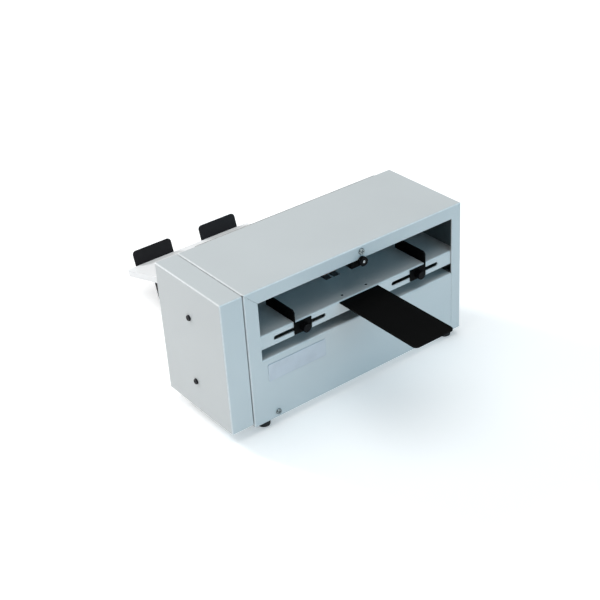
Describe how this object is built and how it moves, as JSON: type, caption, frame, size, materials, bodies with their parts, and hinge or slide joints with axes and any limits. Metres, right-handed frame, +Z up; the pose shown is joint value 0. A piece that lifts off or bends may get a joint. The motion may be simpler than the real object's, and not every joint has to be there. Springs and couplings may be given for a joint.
{
  "type": "desktop paper creasing machine",
  "caption": "Desktop paper creaser: sheet-metal box with hinged cover, friction feed shelf with side guides, geared crease rollers and a sloping exit tray.",
  "frame": {"origin": "middle of the whole machine's footprint, at the underside of the rubber feet", "axes": "+X to the right as seen by the user, +Y from the infeed to the exit tray, +Z up"},
  "size_m": [0.3928, 0.573, 0.206],
  "materials": {
    "housing_paint": "light grey textured powder coat",
    "black_paint": "matte black powder coat",
    "white_paint": "smooth white paint",
    "steel": "ground",
    "zinc_plate": "zinc plated",
    "black_screw": "black oxide",
    "bare_plate": "satin",
    "bronze": "sintered bronze",
    "nylon": "natural nylon",
    "black_plastic": "moulded matte black",
    "rubber": "matte",
    "pad_rubber": "brown friction rubber",
    "motor_metal": "grey enamel",
    "circuit_board": "green solder mask"
  },
  "bodies": {
    "chassis": {"base_pan": "housing_paint", "front_panel": "housing_paint", "name_plate": "bare_plate", "rear_panel": "housing_paint", "left_frame_plate": "zinc_plate", "right_frame_plate": "zinc_plate", "tie_rods": "steel", "front_tie_bar": "steel", "chassis_screws": "zinc_plate", "feed_shelf": "housing_paint", "feed_tongue": "black_paint", "exit_guide_plate": "zinc_plate", "feed_guard": "black_paint", "shaft_bushes": "bronze", "gear_studs": "steel", "gear_cover": "housing_paint", "gear_cover_pillars": "steel", "gear_cover_screws": "black_screw", "motor_body": "motor_metal", "power_entry": "black_plastic", "control_board": "circuit_board", "hinge_lower_leaf": "zinc_plate", "hinge_pin": "steel", "rubber_feet": "rubber", "exit_tray": "white_paint", "tray_leg": "black_paint", "separator_bracket": "black_paint"},
    "cover": {"main_cover": "housing_paint", "hinge_upper_leaf": "zinc_plate"},
    "lock_screw": {"cover_lock_screw": "zinc_plate"},
    "left_guide": {"left_side_guide": "black_paint"},
    "left_clamp": {"left_thumbscrew": "black_plastic"},
    "right_guide": {"right_side_guide": "black_paint"},
    "right_clamp": {"right_thumbscrew": "black_plastic"},
    "separator": {"separator_holder": "zinc_plate", "separator_pad": "pad_rubber"},
    "adjuster": {"adjust_rod": "steel", "separator_knob": "black_plastic", "knob_screw": "zinc_plate"},
    "lower_crease": {"lower_crease_shaft": "steel", "crease_anvil": "steel", "lower_drive_rollers": "rubber", "lower_crease_gears": "steel"},
    "upper_crease": {"upper_crease_shaft": "steel", "crease_wheel": "steel", "upper_press_rollers": "rubber", "upper_crease_gear": "steel"},
    "feed_drive": {"feed_shaft": "steel", "feed_tyres": "rubber", "feed_gear": "nylon"},
    "exit_drive": {"exit_shaft": "steel", "exit_rollers": "rubber", "exit_gear": "nylon"},
    "exit_upper": {"exit_upper_roller": "nylon"},
    "feed_idler": {"feed_idler_gear": "nylon"},
    "exit_idler": {"exit_idler_gear": "nylon"},
    "reduction": {"reduction_gear": "nylon"},
    "motor_rotor": {"motor_shaft": "steel"},
    "switch_rocker": {"power_rocker": "black_plastic"},
    "stop": {"paper_stop": "black_paint"}
  },
  "joints": [
    {"name": "cover_hinge", "type": "hinge", "parent": "chassis", "child": "cover", "pos_m": [0.0184, 0.00295, 0.196], "axis": [-1, 0, 0], "range_deg": [0, 100]},
    {"name": "lock_screw_turn", "type": "hinge", "parent": "cover", "child": "lock_screw", "pos_m": [0.023, -0.14445, 0.1976], "axis": [0, -1, 0], "range_deg": [0, 180]},
    {"name": "left_guide_slide", "type": "slide", "parent": "chassis", "child": "left_guide", "axis": [1, 0, 0], "range_m": [-0.043, 0.034]},
    {"name": "left_clamp_turn", "type": "hinge", "parent": "left_guide", "child": "left_clamp", "pos_m": [-0.0736, -0.14445, 0.1278], "axis": [0, -1, 0], "range_deg": [0, 180]},
    {"name": "right_guide_slide", "type": "slide", "parent": "chassis", "child": "right_guide", "axis": [1, 0, 0], "range_m": [-0.042, 0.035]},
    {"name": "right_clamp_turn", "type": "hinge", "parent": "right_guide", "child": "right_clamp", "pos_m": [0.1184, -0.14445, 0.1278], "axis": [0, -1, 0], "range_deg": [0, 180]},
    {"name": "separator_knob_turn", "type": "hinge", "parent": "chassis", "child": "adjuster", "pos_m": [0.0224, -0.14445, 0.1851], "axis": [0, -1, 0], "range_deg": [-34, 34]},
    {"name": "separator_lift", "type": "slide", "parent": "chassis", "child": "separator", "axis": [0, 0, 1], "range_m": [-0.001, 0.001]},
    {"name": "lower_crease_spin", "type": "hinge", "parent": "chassis", "child": "lower_crease", "pos_m": [0.0184, -0.04445, 0.124], "axis": [-1, 0, 0], "continuous": true},
    {"name": "upper_crease_spin", "type": "hinge", "parent": "chassis", "child": "upper_crease", "pos_m": [0.0184, -0.04445, 0.152], "axis": [-1, 0, 0], "continuous": true},
    {"name": "feed_idler_spin", "type": "hinge", "parent": "chassis", "child": "feed_idler", "pos_m": [0.0184, -0.06071, 0.10774], "axis": [-1, 0, 0], "continuous": true},
    {"name": "feed_shaft_spin", "type": "hinge", "parent": "chassis", "child": "feed_drive", "pos_m": [0.0184, -0.07836, 0.124], "axis": [-1, 0, 0], "continuous": true},
    {"name": "exit_idler_spin", "type": "hinge", "parent": "chassis", "child": "exit_idler", "pos_m": [0.0184, -0.02284, 0.11613], "axis": [-1, 0, 0], "continuous": true},
    {"name": "exit_shaft_spin", "type": "hinge", "parent": "chassis", "child": "exit_drive", "pos_m": [0.0184, -0.01191, 0.12916], "axis": [-1, 0, 0], "continuous": true},
    {"name": "exit_upper_spin", "type": "hinge", "parent": "chassis", "child": "exit_upper", "pos_m": [0.0184, -0.01191, 0.1443], "axis": [-1, 0, 0], "continuous": true},
    {"name": "reduction_spin", "type": "hinge", "parent": "chassis", "child": "reduction", "pos_m": [0.0184, -0.03958, 0.08934], "axis": [-1, 0, 0], "continuous": true},
    {"name": "motor_spin", "type": "hinge", "parent": "chassis", "child": "motor_rotor", "pos_m": [0.0184, -0.04466, 0.0537], "axis": [-1, 0, 0], "continuous": true},
    {"name": "switch_rock", "type": "hinge", "parent": "chassis", "child": "switch_rocker", "pos_m": [0.1524, -0.00145, 0.077], "axis": [1, 0, 0], "range_deg": [0, 24]},
    {"name": "paper_stop_slide", "type": "slide", "parent": "chassis", "child": "stop", "axis": [0, 0.9603, -0.279], "range_m": [0, 0.1]}
  ],
  "couplings": [
    {"joint": "separator_knob_turn", "follows": "separator_lift", "rad_per_m": 512.82},
    {"joint": "upper_crease_spin", "follows": "lower_crease_spin", "ratio": -1},
    {"joint": "feed_idler_spin", "follows": "lower_crease_spin", "ratio": -1.5556},
    {"joint": "feed_shaft_spin", "follows": "lower_crease_spin", "ratio": 0.93333},
    {"joint": "exit_idler_spin", "follows": "lower_crease_spin", "ratio": -1.5556},
    {"joint": "exit_shaft_spin", "follows": "lower_crease_spin", "ratio": 1.75},
    {"joint": "exit_upper_spin", "follows": "lower_crease_spin", "ratio": -2.5794},
    {"joint": "reduction_spin", "follows": "lower_crease_spin", "ratio": -4},
    {"joint": "motor_spin", "follows": "lower_crease_spin", "ratio": 20}
  ]
}
